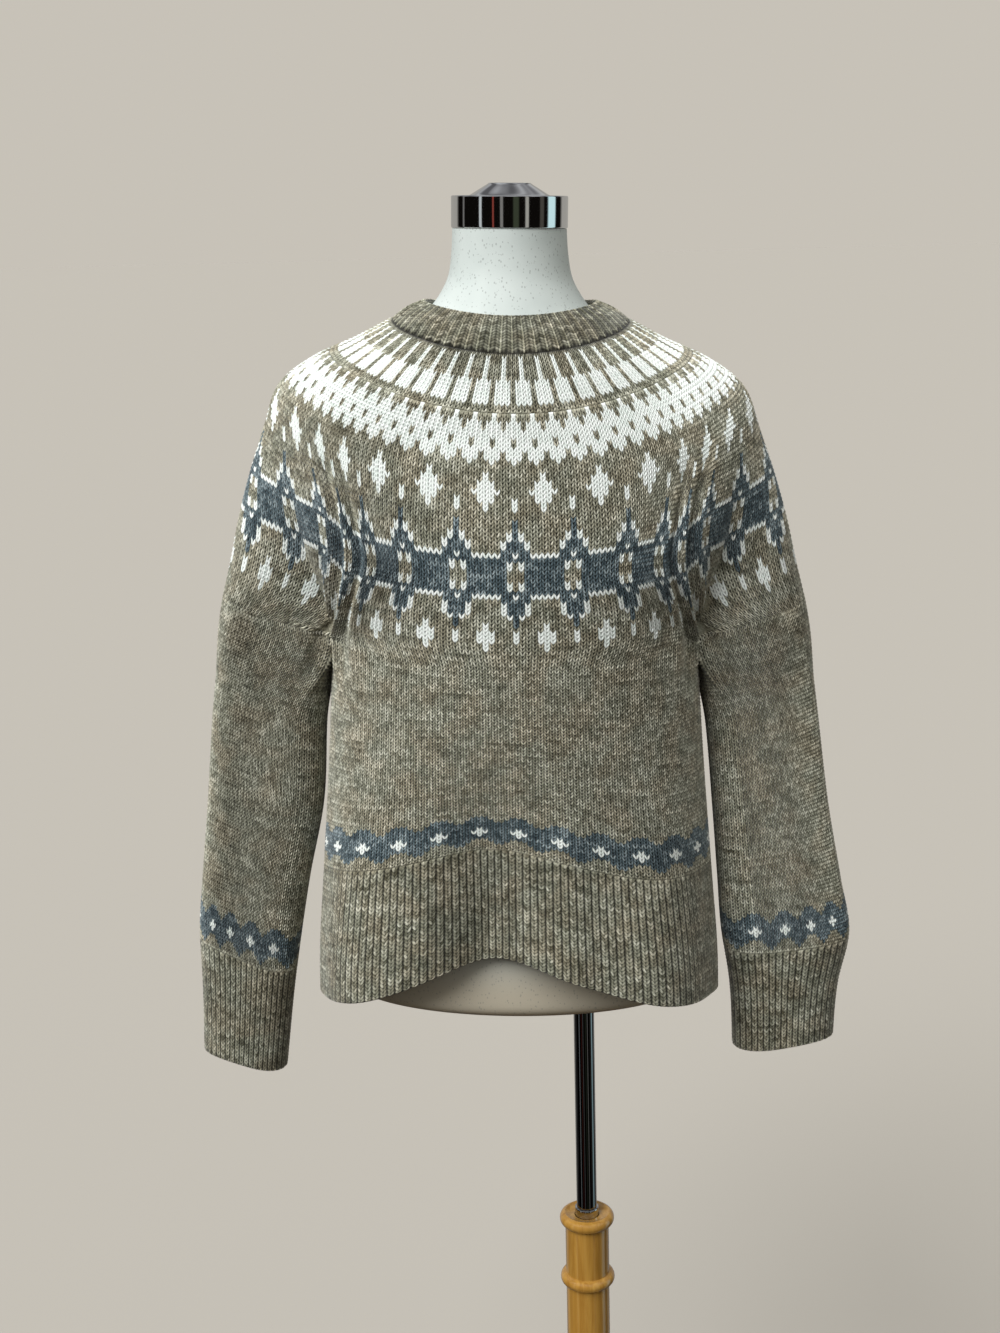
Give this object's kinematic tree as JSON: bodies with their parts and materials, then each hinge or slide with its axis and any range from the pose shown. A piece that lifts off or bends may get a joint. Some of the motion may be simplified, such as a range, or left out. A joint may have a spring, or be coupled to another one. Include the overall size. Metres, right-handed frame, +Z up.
{
  "type": "fair isle sweater on dress form",
  "caption": "Round-yoke fair isle pullover with ribbed neck, hem and cuffs, worn by a limbless dress form on a turned wooden stand.",
  "frame": {"origin": "centre of the stand's flat underside, on the axis of the pole", "axes": "+Z up along the pole, the front of the sweater faces -Y, the wearer's left side is at +X"},
  "size_m": [0.6069, 0.38, 1.492],
  "materials": {
    "knit_wool": "heathered light brown wool with off-white and blue-grey patterns, slightly fuzzy",
    "form_shell": "off-white satin shell with small grey specks",
    "chrome": "polished",
    "varnished_wood": "golden tan, glossy varnish"
  },
  "bodies": {
    "root": {"body_back": "knit_wool", "body_front": "knit_wool", "cuff_left": "knit_wool", "cuff_right": "knit_wool", "ferrule": "chrome", "form_torso": "form_shell", "hem_rib": "knit_wool", "neck_cap": "chrome", "neckband": "knit_wool", "pole": "chrome", "sleeve_left": "knit_wool", "sleeve_right": "knit_wool", "stand_base": "varnished_wood", "stand_column": "varnished_wood", "yoke": "knit_wool"}
  },
  "joints": []
}
